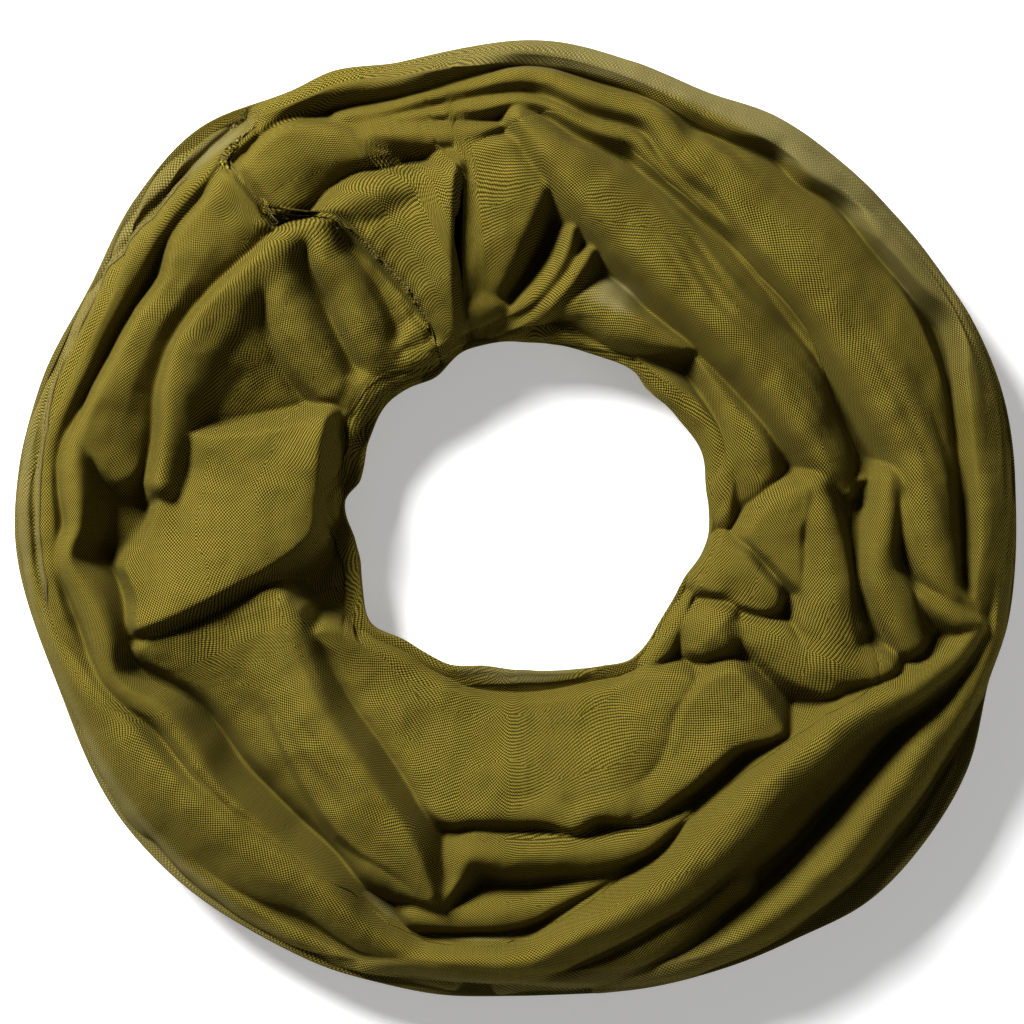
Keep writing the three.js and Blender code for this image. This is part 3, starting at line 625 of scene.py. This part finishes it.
def crumples():
    """Small unevenness of the cloth over the grid, in mm."""
    rng = np.random.default_rng(SEED + 2)
    shape = (len(grid_axes()[1]), len(grid_axes()[0]))
    broad = smooth_noise(shape, 11, 11, rng)
    small = smooth_noise(shape, 4.5, 4.5, rng)
    fine = smooth_noise(shape, 1.8, 1.8, rng)
    return 0.75 * broad + 0.26 * small + 0.06 * fine


def read_grid(grid, x, y):
    """Values of a grid between its cells."""
    gx = (x + GRID_HALF_X) / CELL
    gy = (y + GRID_HALF_Y) / CELL
    i = np.clip(gx.astype(int), 0, grid.shape[1] - 2)
    j = np.clip(gy.astype(int), 0, grid.shape[0] - 2)
    u = gx - i
    v = gy - j
    return ((grid[j, i] * (1 - u) + grid[j, i + 1] * u) * (1 - v)
            + (grid[j + 1, i] * (1 - u) + grid[j + 1, i + 1] * u) * v)


class Pile:
    """The outside of the whole gathered pile, read by angle (degrees) and section direction."""

    def __init__(self):
        self.top = fold_relief() + crumples()
        rng = np.random.default_rng(SEED + 1)
        shape = (SECTION_CELLS, ANGLE_CELLS)
        self.slant = smooth_noise(shape, 14, 22, rng)
        self.depth = np.clip(0.75 + 0.35 * smooth_noise(shape, 9, 26, rng), 0.1, 1.3)
        self.rumple = smooth_noise(shape, 2.4, 7, rng)
        self.under = smooth_noise(shape, 7, 22, rng)

    def rims(self, angle):
        """Radius of the outer and the inner rim."""
        return closed_curve(OUTER_RIM, angle % 360), closed_curve(INNER_RIM, angle % 360)

    def read(self, grid, angle, phi):
        """Values of a periodic grid over the angle and the section direction."""
        x = (angle % 360) / 360 * ANGLE_CELLS
        y = (phi / (2 * np.pi)) % 1 * SECTION_CELLS
        i = x.astype(int)
        j = y.astype(int)
        u = x - i
        v = y - j
        i0, i1 = i % ANGLE_CELLS, (i + 1) % ANGLE_CELLS
        j0, j1 = j % SECTION_CELLS, (j + 1) % SECTION_CELLS
        return ((grid[j0, i0] * (1 - u) + grid[j0, i1] * u) * (1 - v)
                + (grid[j1, i0] * (1 - u) + grid[j1, i1] * u) * v)

    def wall(self, angle, phi):
        """How far the sides draw in between the folds that run along them."""
        count = round(SECTION_LENGTH / WALL_FOLD_STEP)
        phase = phi / (2 * np.pi) * count + 3 * angle / 360 + 0.75 * self.read(self.slant, angle, phi)
        valley = (1 - np.abs(np.cos(np.pi * phase))) ** 1.2
        lesser = 2.6 * phase + 0.4 * self.read(self.under, angle, phi)
        secondary = (1 - np.abs(np.cos(np.pi * lesser))) ** 1.2
        off_rim = np.minimum(np.abs((phi + np.pi / 2) % np.pi - np.pi / 2) / RIM_CLEAR, 1)
        depth = WALL_FOLD_DEPTH * self.read(self.depth, angle, phi)
        draw = depth * (valley + 0.22 * secondary) * off_rim ** 2
        return draw + 0.25 * self.read(self.rumple, angle, phi)

    def point(self, angle, phi):
        """x, y, z of the outside. phi is in radians from the outer rim, up and over."""
        outer, inner = self.rims(angle)
        mid = (outer + inner) / 2
        half = (outer - inner) / 2
        c, s = np.cos(phi), np.sin(phi)
        across = np.sign(c) * np.abs(c) ** (2 / SECTION_POWER)
        radius = mid + (half + WALL_SLACK) * across
        a = np.radians(angle)
        under = self.read(self.under, angle, phi)
        top = read_grid(self.top, radius * np.cos(a), radius * np.sin(a))
        top = np.maximum(top, WAIST + RIM_RISE - RIM_SLOPE * (1 - np.abs(across)))
        roll = (1 - np.abs(across) ** 5) ** 0.2
        upper = WAIST + (top - WAIST) * roll
        lower = WAIST - BELLY * np.abs(s) ** (2 / SECTION_POWER) + 1.3 * under * np.abs(s)
        z = np.where(s >= 0, upper, np.maximum(lower, FLOOR_GAP + 0.4 * np.abs(under)))
        radius = radius - np.sign(c) * np.abs(across) ** 8 * self.wall(angle, phi)
        z = np.maximum(z, FLOOR_GAP)
        return np.stack([radius * np.cos(a), radius * np.sin(a), z], -1)


def parting_phi(angle):
    """Section direction of the line between the turns on top, at an angle from 120 to 480."""
    a = np.array([p[0] for p in PARTING], float)
    r = np.interp(angle, a, [p[1] for p in PARTING])
    outer = closed_curve(OUTER_RIM, angle % 360)
    inner = closed_curve(INNER_RIM, angle % 360)
    across = np.clip((2 * r - outer - inner) / (outer - inner), -1, 1)
    return np.arccos(np.sign(across) * np.abs(across) ** (SECTION_POWER / 2))


def arc_sampling(start, end):
    """Section directions from start to end, closer together on top, where the cloth shows."""
    table = np.linspace(0, 4 * np.pi, 4000)
    weight = np.where(np.sin(table) > -0.05, 1.0, 0.45)
    total = np.concatenate([[0], np.cumsum((weight[1:] + weight[:-1]) / 2 * np.diff(table))])
    t0, t1 = np.interp([start, end], table, total)
    return np.interp(np.linspace(t0, t1, ARC_POINTS), total, table)


def panel_points(pile):
    """The whole panel as a grid of points: stations round both turns by points across it."""
    rows = []
    count = 2 * STATIONS
    for i in range(count):
        turn, place = divmod(i, STATIONS)
        base = SEAM_ANGLE + 360 * place / STATIONS
        off_seam = 360 * min(i, count - i) / STATIONS
        pull = max(0, 1 - off_seam / SEAM_PULL) ** 1.5
        edge_radius = np.interp(base, [p[0] for p in PARTING], [p[1] for p in PARTING])
        at_edge = base + pull * (seam_degrees(edge_radius) - SEAM_ANGLE)
        on_top = float(parting_phi(np.array(at_edge)))
        below = np.pi * (1 + place / STATIONS)
        start, end = (on_top, below) if turn == 0 else (below, 2 * np.pi + on_top)
        phi = arc_sampling(start, end)
        plain = pile.point(np.full(ARC_POINTS, base), phi)
        angle = base + pull * (seam_degrees(np.hypot(plain[:, 0], plain[:, 1])) - SEAM_ANGLE)
        arc = pile.point(angle, phi)
        rows.append(np.vstack(hidden_parts(arc, base, turn)))
    return np.array(rows)


def hidden_parts(arc, degrees, turn):
    """The edge tucked in at the start of an arc, the arc itself, and the pleats inside after it."""
    toward = np.array([np.cos(np.radians(degrees)), np.sin(np.radians(degrees)), 0])
    outer = closed_curve(OUTER_RIM, np.array([degrees % 360]))[0]
    inner = closed_curve(INNER_RIM, np.array([degrees % 360]))[0]
    middle = (outer + inner) / 2 * toward
    up = np.array([0, 0, 1.0])

    def way_in(point):
        """From a point on the outside towards the inside of the pile."""
        flat = point * np.array([1, 1, 0])
        aim = (1 - PLEAT_AIM) * flat + PLEAT_AIM * middle + TUCK_FLOOR * up
        return aim - point

    deep = TUCK_DEPTH * (1 - 0.96 * (open_edge_share(degrees % 360) if turn == 0 else 0))
    first = way_in(arc[0]) / np.linalg.norm(way_in(arc[0]))
    tuck = arc[0] + first * np.linspace(deep, deep / TUCK_POINTS, TUCK_POINTS)[:, None]
    descent = arc[-1] + way_in(arc[-1]) * np.array(DESCENT)[:, None]
    width = (outer - inner) / 2 * PLEAT_SHARE
    pleats = []
    for k in range(LAYERS):
        sweep = np.linspace(-width, width, LAYER_POINTS) * (1 if k % 2 else -1)
        pleats.append(middle + toward * sweep[:, None] + up * (PLEAT_START + turn + LAYER_STEP * k))
    parts = [tuck, arc, descent] + pleats
    for part in parts:
        part[:, 2] = np.maximum(part[:, 2], FLOOR_GAP)
    return parts


def surface_normals(points):
    """Outward directions of the panel's grid, whose stations close on themselves."""
    round_way = np.roll(points, -1, axis=0) - np.roll(points, 1, axis=0)
    across = np.gradient(points, axis=1)
    normal = np.cross(round_way, across)
    return unit(normal)


def strip_along(points, normals, distances):
    """Points and directions at distances in from the first column of a grid."""
    steps = np.linalg.norm(np.diff(points, axis=1), axis=2)
    places = np.concatenate([np.zeros((len(points), 1)), np.cumsum(steps, axis=1)], axis=1)
    at = np.empty((len(points), len(distances), 3))
    facing = np.empty_like(at)
    for i in range(len(points)):
        for axis in range(3):
            at[i, :, axis] = np.interp(distances, places[i], points[i, :, axis])
            facing[i, :, axis] = np.interp(distances, places[i], normals[i, :, axis])
    return at, unit(facing)


def flat_tube(at, facing, low, high):
    """Closed sections of a flattened tube between two heights over a strip."""
    low = np.reshape(low, (-1, 1, 1))
    high = np.reshape(high, (-1, 1, 1))
    top = at + facing * high
    bottom = at + facing * low
    edge = at[:, :1] + facing[:, :1] * (low + high) / 2 + (at[:, :1] - at[:, 1:2]) * 0.35
    back = at[:, -1:] + facing[:, -1:] * (low + high) / 2 + (at[:, -1:] - at[:, -2:-1]) * 0.35
    return np.concatenate([edge, top, back, bottom[:, ::-1]], axis=1)


def tube_faces(rings, sides, start=0):
    """Faces of a tube through rings of points, with its ends closed."""
    faces = []
    for r in range(rings - 1):
        for q in range(sides):
            a, b = start + r * sides + q, start + r * sides + (q + 1) % sides
            faces.append((a, b, b + sides, a + sides))
    faces.append(tuple(start + q for q in range(sides - 1, -1, -1)))
    faces.append(tuple(start + (rings - 1) * sides + q for q in range(sides)))
    return faces


def unit(vectors):
    """Vectors brought to length 1."""
    return vectors / np.maximum(np.linalg.norm(vectors, axis=-1, keepdims=True), 1e-9)


def rings_round(path, beside, other, radius, sides):
    """Rings of points round a path, in the plane of two directions at each of its points."""
    turn = np.arange(sides) * 2 * np.pi / sides
    return path[:, None] + radius * (np.cos(turn)[None, :, None] * beside[:, None]
                                     + np.sin(turn)[None, :, None] * other[:, None])


def stitches(path, facing, pitch, length, lift):
    """Short threads that dip into the cloth at both ends, along a path of points."""
    steps = np.linalg.norm(np.diff(path, axis=0), axis=1)
    places = np.concatenate([[0], np.cumsum(steps)])
    width = THREAD_RADIUS * np.array(STITCH_TAPER)[:, None, None]
    rings, faces = [], []
    for k in range(int(places[-1] / pitch)):
        where = k * pitch + np.linspace(STITCH_START, STITCH_START + length, len(STITCH_RISE))
        p = np.column_stack([np.interp(where, places, path[:, axis]) for axis in range(3)])
        up = np.column_stack([np.interp(where, places, facing[:, axis]) for axis in range(3)])
        p = p + up * lift * np.array(STITCH_RISE)[:, None]
        beside = unit(np.cross(np.gradient(p, axis=0), up))
        circle = rings_round(p, beside, up, width, STITCH_SIDES)
        faces += tube_faces(len(p), STITCH_SIDES, k * len(p) * STITCH_SIDES)
        rings.append(circle.reshape(-1, 3))
    return np.vstack(rings), faces


def thread_tube(path, radius):
    """A thin thread along a path of points, with its ends closed."""
    ahead = unit(np.gradient(path, axis=0))
    beside = unit(np.cross(ahead, np.array([0.31, 0.17, 0.93])))
    rings = rings_round(path, beside, np.cross(ahead, beside), radius, THREAD_SIDES)
    return rings.reshape(-1, 3), tube_faces(len(path), THREAD_SIDES)


def plain_mesh(name, points, faces):
    """A mesh of the given faces, with its points in millimetres."""
    mesh = bpy.data.meshes.new(name)
    points = np.array(points)
    points[:, 2] = np.maximum(points[:, 2], LEAST_HEIGHT)
    mesh.from_pydata((points * MM).tolist(), [], faces)
    mesh.polygons.foreach_set("use_smooth", np.ones(len(faces), bool))
    mesh.update(calc_edges=True)
    return mesh


def grid_mesh(name, points, u, v, wrap, tube=False):
    """A mesh of quads through a grid of points in millimetres, with UVs in metres of cloth."""
    points = points.copy()
    points[..., 2] = np.maximum(points[..., 2], LEAST_HEIGHT)
    rows, cols = points.shape[:2]
    index = np.arange(rows * cols).reshape(rows, cols)
    if tube:
        index = np.hstack([index, index[:, :1]])
    here = index if wrap else index[:-1]
    there = np.roll(index, -1, axis=0) if wrap else index[1:]
    quads = np.stack([here[:, :-1], there[:, :-1], there[:, 1:], here[:, 1:]], -1).reshape(-1, 4)
    mesh = bpy.data.meshes.new(name)
    mesh.vertices.add(rows * cols)
    mesh.vertices.foreach_set("co", (points.reshape(-1, 3) * MM).astype(np.float32).ravel())
    mesh.loops.add(quads.size)
    mesh.loops.foreach_set("vertex_index", quads.ravel().astype(np.int32))
    mesh.polygons.add(len(quads))
    mesh.polygons.foreach_set("loop_start", np.arange(0, quads.size, 4, dtype=np.int32))
    mesh.polygons.foreach_set("use_smooth", np.ones(len(quads), bool))
    uu = np.broadcast_to(u, (rows, cols))
    vv = np.broadcast_to(v, (rows, cols))
    uv = np.stack([uu.ravel()[quads], vv.ravel()[quads]], -1)
    if wrap:
        last = uv.reshape(rows, -1, 4, 2)[-1]
        last[:, 1:3, 0] = uu[-1, 0] + (uu[1, 0] - uu[0, 0])
    layer = mesh.uv_layers.new(name="cloth")
    layer.data.foreach_set("uv", uv.astype(np.float32).ravel())
    mesh.update(calc_edges=True)
    mesh.validate()
    return mesh


def add_object(name, data):
    """An object in the scene."""
    obj = bpy.data.objects.new(name, data)
    bpy.context.scene.collection.objects.link(obj)
    return obj


def thinness(points):
    """Where one layer alone lets the table show through, from 0 to 1, painted as light in the cloth's colour.
    """
    x, y = points[..., 0], points[..., 1]
    angle = np.degrees(np.arctan2(y, x)) % 360
    radius = np.hypot(x, y)
    total = np.zeros(angle.shape)
    for centre, spread, low, high, amount in THIN:
        off = np.abs((angle - centre + 180) % 360 - 180)
        window = np.clip(1.3 - off / spread, 0, 1)
        band = np.clip((radius - low) / 3, 0, 1) * np.clip((high - radius) / 3, 0, 1)
        total = np.maximum(total, amount * window * band)
    return total * np.clip((points[..., 2] - 24) / 8, 0, 1)


def set_inputs(node, **values):
    """Sets a node's inputs, which are named with underscores for their spaces."""
    for name, value in values.items():
        node.inputs[name.replace("_", " ")].default_value = value
    return node


def node_material(name):
    """A new material, its nodes, its links and its shader."""
    material = bpy.data.materials.new(name)
    material.use_nodes = True
    nodes = material.node_tree.nodes
    return material, nodes, material.node_tree.links, nodes["Principled BSDF"]


def weave_material(name, color):
    """Plain weave: two sets of yarns that pass over and under each other, with painted shade in the holes
    between them and painted highlights on their tops.
    """
    material, nodes, links, shader = node_material(name)
    set_inputs(shader, Roughness=0.95, Specular_IOR_Level=0.06, IOR=1.12)
    set_inputs(shader, Sheen_Weight=0.02, Sheen_Roughness=0.45, Sheen_Tint=(0.75, 0.68, 0.30, 1))

    def math(op, a, b=None, c=None):
        """Output of a math node over numbers and other nodes' outputs."""
        node = nodes.new("ShaderNodeMath")
        node.operation = op
        for socket, value in zip(node.inputs, (a, b, c)):
            if value is None:
                continue
            if isinstance(value, (int, float)):
                socket.default_value = value
            else:
                links.new(value, socket)
        return node.outputs[0]

    def noise(vector, scale, detail):
        """A noise texture over a vector."""
        node = set_inputs(nodes.new("ShaderNodeTexNoise"), Scale=scale, Detail=detail)
        links.new(vector, node.inputs["Vector"])
        return node

    def stretched(vector, x, y):
        """A vector with its x and y scaled."""
        node = nodes.new("ShaderNodeVectorMath")
        node.operation = "MULTIPLY"
        node.inputs[1].default_value = (x, y, 1)
        links.new(vector, node.inputs[0])
        return node.outputs[0]

    uv = nodes.new("ShaderNodeUVMap")
    uv.uv_map = "cloth"
    split = nodes.new("ShaderNodeSeparateXYZ")
    links.new(uv.outputs[0], split.inputs[0])
    gauge = nodes.new("ShaderNodeAttribute")
    gauge.attribute_name = "gauge"
    uneven = noise(uv.outputs[0], 18, 2.0).outputs["Fac"]
    level = math("LOGARITHM", gauge.outputs["Fac"], GAUGE_STEP)
    level = math("ADD", level, math("MULTIPLY_ADD", uneven, 1.2, -0.6))
    gathered = math("POWER", GAUGE_STEP, math("ROUND", level))
    drifts = nodes.new("ShaderNodeSeparateXYZ")
    links.new(noise(uv.outputs[0], 9, 1.0).outputs["Color"], drifts.inputs[0])

    def yarn_phase(place, scale, drift):
        """Phase of one set of yarns, with their uneven spacing and their drift."""
        slub = math("MULTIPLY", noise(uv.outputs[0], scale, 1.0).outputs["Fac"], 0.8 * WEAVE_PITCH)
        slub = math("ADD", slub, math("MULTIPLY", drift, WEAVE_DRIFT))
        return math("MULTIPLY", math("ADD", place, slub), np.pi / WEAVE_PITCH)

    across = yarn_phase(math("MULTIPLY", split.outputs[0], gathered), 300, drifts.outputs[0])
    along = yarn_phase(split.outputs[1], 210, drifts.outputs[1])
    warp = math("ABSOLUTE", math("SINE", across))
    weft = math("ABSOLUTE", math("SINE", along))
    cross = math("MULTIPLY", math("SINE", across), math("SINE", along))
    over = math("MULTIPLY_ADD", cross, 0.5, 0.5)
    under = math("SUBTRACT", 1.0, over)
    height = math("ADD", math("MULTIPLY", warp, over), math("MULTIPLY", weft, under))
    height = math("ADD", height, math("MULTIPLY", math("MULTIPLY", warp, weft), 0.4))
    bumps = set_inputs(nodes.new("ShaderNodeBump"), Strength=0.5, Distance=0.0004)
    relief = math("ADD", math("MULTIPLY", height, 0.5), math("MULTIPLY", cross, 0.5))
    links.new(relief, bumps.inputs["Height"])
    links.new(bumps.outputs[0], shader.inputs["Normal"])

    coords = nodes.new("ShaderNodeTexCoord")
    patch = noise(coords.outputs["Object"], 22, 4.0).outputs["Fac"]
    weft_streak = noise(stretched(uv.outputs[0], 45, 1400), 1.0, 2.0).outputs["Fac"]
    warp_streak = noise(stretched(uv.outputs[0], 1400, 45), 1.0, 2.0).outputs["Fac"]
    # Painted light and shade: the tone is lighter where the yarns stand high and darker in their hollows, and
    # it also varies at random.
    tone = math("ADD", math("MULTIPLY", height, 0.25), math("MULTIPLY", patch, 0.16))
    tone = math("ADD", tone, math("MULTIPLY_ADD", math("ADD", weft_streak, warp_streak), 0.16, 0.14))
    tone = math("ADD", tone, math("MULTIPLY", cross, 0.66))
    tone = math("MULTIPLY", tone, 0.6)
    ramp = nodes.new("ShaderNodeValToRGB")
    # Painted shade in the holes, then the cloth's colour, then painted highlight on the yarn tops.
    ramp.color_ramp.elements[0].position = 0.12
    ramp.color_ramp.elements[0].color = (*YARN_GAP_PAINTED_SHADE, 1)
    ramp.color_ramp.elements[1].position = 0.81
    ramp.color_ramp.elements[1].color = (*np.multiply(color, YARN_TOP_PAINTED_HIGHLIGHT), 1)
    middle = ramp.color_ramp.elements.new(0.54)
    middle.color = (*color, 1)
    links.new(tone, ramp.inputs[0])
    # Painted light: where the cloth is thin, the pale table seen through it is painted into the colour.
    attribute = nodes.new("ShaderNodeAttribute")
    attribute.attribute_name = "thin"
    greyed = nodes.new("ShaderNodeMix")
    greyed.data_type = "RGBA"
    greyed.inputs["B"].default_value = (*TABLE_THROUGH_CLOTH, 1)
    links.new(math("MULTIPLY", attribute.outputs["Fac"], 0.65), greyed.inputs["Factor"])
    links.new(ramp.outputs[0], greyed.inputs["A"])
    links.new(greyed.outputs["Result"], shader.inputs["Base Color"])
    return material


def thread_material(name, color):
    """Sewing thread: two plies twisted together, with painted shade in the grooves between them and a soft
    shine.
    """
    material, nodes, links, shader = node_material(name)
    set_inputs(shader, Roughness=0.7, Sheen_Weight=0.03)
    coords = nodes.new("ShaderNodeTexCoord")
    ply = set_inputs(nodes.new("ShaderNodeTexWave"), Scale=900, Distortion=1.5)
    ply.wave_type = "BANDS"
    ply.bands_direction = "DIAGONAL"
    links.new(coords.outputs["Object"], ply.inputs["Vector"])
    ramp = nodes.new("ShaderNodeValToRGB")
    # Painted shade: the colour darkens in the grooves between the plies.
    ramp.color_ramp.elements[0].color = (*np.multiply(color, 0.45), 1)
    ramp.color_ramp.elements[1].color = (*color, 1)
    links.new(ply.outputs["Fac"], ramp.inputs[0])
    links.new(ramp.outputs[0], shader.inputs["Base Color"])
    bumps = set_inputs(nodes.new("ShaderNodeBump"), Strength=0.4, Distance=0.0001)
    links.new(ply.outputs["Fac"], bumps.inputs["Height"])
    links.new(bumps.outputs[0], shader.inputs["Normal"])
    return material


def point_values(mesh, name, values):
    """Values at the points of a mesh, for its material to read."""
    layer = mesh.attributes.new(name, "FLOAT", "POINT")
    layer.data.foreach_set("value", values.astype(np.float32).ravel())


def gather_gauge(points):
    """Width of the weave at points of the panel, against that of the panel laid flat."""
    return np.hypot(points[..., 0], points[..., 1]) / MEAN_RADIUS


def weave_lengths(points):
    """Distance across the panel to each of its points, evened out round the ring."""
    steps = np.linalg.norm(np.diff(points, axis=1), axis=2)
    lengths = np.concatenate([np.zeros((len(points), 1)), np.cumsum(steps, axis=1)], axis=1)
    freq = np.fft.rfftfreq(len(points))
    gain = np.exp(-2 * (np.pi * GAUGE_BLUR) ** 2 * freq**2)[:, None]
    return np.fft.irfft(np.fft.rfft(lengths, axis=0) * gain, n=len(points), axis=0)


def finish_piece(name, mesh, material, slot, *nodes):
    """Puts a piece in the scene in place of its CAD nodes."""
    obj = add_object(name, mesh)
    obj.data.materials.append(material)
    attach(obj, "root")
    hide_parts(*nodes)
    return obj


def make_hem(which, grid, facing):
    """A doubled hem along an edge of the panel, and its line of stitches."""
    at, out = strip_along(grid, facing, np.array(HEM_COLUMNS))
    rng = np.random.default_rng(SEED + 10)
    swell = 1 + 0.25 * smooth_noise((1, len(at)), 0.01, 3.0, rng).reshape(-1, 1, 1)
    low, high = HEM_BOTTOM * HEM_HALF_THICKNESS, HEM_TOP * HEM_HALF_THICKNESS
    sections = flat_tube(at, out * swell, low, high)
    round_hem = np.linspace(0, HEM_WEAVE_WIDTH, sections.shape[1])[None, :]
    mesh = grid_mesh(which + "_hem", sections, u, round_hem, wrap=True, tube=True)
    point_values(mesh, "gauge", gather_gauge(sections))
    point_values(mesh, "thin", np.full(sections.shape[:2], HEM_THINNESS))
    hem = finish_piece(which + "_hem", mesh, hem_cloth, "hem", which + "_edge_hem")
    line, over = strip_along(grid, facing, np.array([HEM_STITCH_PLACE]))
    seat = line[:, 0] + over[:, 0] * high
    spots, faces = stitches(seat, over[:, 0], STITCH_PITCH, STITCH_LENGTH, HEM_STITCH_LIFT)
    thread_mesh = plain_mesh(which + "_hem_stitches", spots, faces)
    stitch = finish_piece(which + "_hem_stitches", thread_mesh, thread, "thread", which + "_hem_thread")
    return [hem, stitch]


def tucked(at):
    """Points of the seam, moved in towards the middle of the pile where the seam is out of sight."""
    angle = np.degrees(np.arctan2(at[..., 1], at[..., 0])) % 360
    radius = np.hypot(at[..., 0], at[..., 1])
    outer, inner = closed_curve(OUTER_RIM, angle), closed_curve(INNER_RIM, angle)
    middle = (outer + inner) / 2
    crossing = np.exp(-((radius - SEAM_CROSSING[0]) / SEAM_CROSSING[1]) ** 4)
    near_rim = np.abs(radius - middle) / (outer - inner) * 2 - (1 - RIM_TUCK_WIDTH)
    rim = np.clip(near_rim, 0, RIM_TUCK_WIDTH) / RIM_TUCK_WIDTH
    move = np.maximum(CROSSING_TUCK * crossing * (at[..., 2] > WAIST), RIM_TUCK * rim)[..., None]
    target = np.stack([middle * np.cos(np.radians(angle)), middle * np.sin(np.radians(angle)),
                       np.full(angle.shape, float(WAIST) - 3)], -1)
    return at + (target - at) * move


pile = Pile()
points = panel_points(pile)
normals = surface_normals(points)
u = (np.arange(len(points)) / len(points) * PANEL_LENGTH)[:, None]
v = weave_lengths(points) * MM
cloth_mesh = grid_mesh("scarf_cloth", points, u, v, wrap=True)
point_values(cloth_mesh, "thin", thinness(points))
point_values(cloth_mesh, "gauge", gather_gauge(points))
woven_cloth = weave_material("woven_cloth", CLOTH_COLOR)
thread = thread_material("sewing_thread", THREAD_COLOR)
cloth = finish_piece("scarf_cloth", cloth_mesh, woven_cloth, "cloth", "cloth_first_turn", "cloth_second_turn")

hem_cloth = weave_material("hem_cloth", HEM_COLOR)
pieces = make_hem("first", points, normals)
pieces += make_hem("second", points[:, ::-1], normals[:, ::-1])

# The seam runs across the panel at its first station, with its allowance turned to one side inside.
turned = points[:SEAM_STATIONS].transpose(1, 0, 2)
turned_normals = normals[:SEAM_STATIONS].transpose(1, 0, 2)
at, out = strip_along(turned, turned_normals, np.linspace(0, SEAM_ALLOWANCE_WIDTH, SEAM_ROWS))
seen = np.zeros(points.shape[1])
seen[TUCK_POINTS + SEAM_END_ROWS:TUCK_POINTS + ARC_POINTS - SEAM_END_ROWS] = 1
seen = np.convolve(np.pad(seen, 4, mode="edge"), np.ones(9) / 9, mode="valid")
depth = ALLOWANCE_HIDDEN + (1 - ALLOWANCE_HIDDEN) * seen
sections = tucked(flat_tube(at, out, ALLOWANCE_HEIGHTS[0] * depth, ALLOWANCE_HEIGHTS[1] * depth))
across_seam = np.linspace(0, SEAM_WEAVE_WIDTH, sections.shape[1])[None, :]
allowance_mesh = grid_mesh("seam_fold", sections, v[0][:, None], across_seam, wrap=False, tube=True)
point_values(allowance_mesh, "gauge", np.ones(sections.shape[:2]))
point_values(allowance_mesh, "thin", np.zeros(sections.shape[:2]))
pieces.append(finish_piece("seam_fold", allowance_mesh, woven_cloth, "cloth", "seam_allowance"))

spots, faces = stitches(tucked(points[0]), normals[0], *SEAM_STITCH)
stitch_mesh = plain_mesh("seam_stitches", spots, faces)
pieces.append(finish_piece("seam_stitches", stitch_mesh, thread, "thread", "seam_thread"))

# The overlock thread swings between the cut edge of the allowance and a line inside it.
turns = np.array([OVERLOCK_PLACE, SEAM_ALLOWANCE_WIDTH])
zigzag_at, zigzag_out = strip_along(turned, turned_normals, turns)
swing = zigzag_at[:, 0].copy()
swing[1::2] = zigzag_at[1::2, 1]
under = zigzag_out[:, 0] * OVERLOCK_DEPTH * depth[:, None]
spots, faces = thread_tube(tucked(swing - under), OVERLOCK_RADIUS)
overlock_mesh = plain_mesh("overlock_stitches", spots, faces)
pieces.append(finish_piece("overlock_stitches", overlock_mesh, thread, "thread", "seam_overlock_thread"))

# The table, the camera and the light.
floor_mesh = bpy.data.meshes.new("floor")
far = FLOOR_HALF_WIDTH
floor_mesh.from_pydata([(-far, -far, 0), (far, -far, 0), (far, far, 0), (-far, far, 0)], [], [(0, 1, 2, 3)])
floor = add_object("floor", floor_mesh)
floor_material, _, _, floor_shader = node_material("pale_floor")
set_inputs(floor_shader, Base_Color=(0.9, 0.9, 0.9, 1), Roughness=0.9)
set_inputs(floor_shader, Emission_Color=(1, 1, 1, 1), Emission_Strength=0.30)
floor.data.materials.append(floor_material)

camera_data = bpy.data.cameras.new("camera")
camera_data.sensor_width = SENSOR_WIDTH
camera_data.lens = SENSOR_WIDTH * (CAMERA_HEIGHT - WAIST * MM) / FRAME_WIDTH
camera = add_object("camera", camera_data)
camera.location = (*FRAME_CENTRE, CAMERA_HEIGHT)
bpy.context.scene.camera = camera


def soft_light(name, place, size, power):
    """A round lamp that points at the middle of the table."""
    data = bpy.data.lights.new(name, "AREA")
    data.shape = "DISK"
    data.size = size
    data.energy = power
    light = add_object(name, data)
    light.location = place
    light.rotation_euler = (-Vector(place)).to_track_quat("-Z", "Y").to_euler()


soft_light("key", *KEY_LIGHT)
soft_light("fill", *FILL_LIGHT)
world = bpy.data.worlds.new("world")
world.use_nodes = True
set_inputs(world.node_tree.nodes["Background"], Color=(1, 1, 1, 1), Strength=SKY_STRENGTH)
bpy.context.scene.world = world
bpy.context.scene.view_settings.view_transform = "Standard"
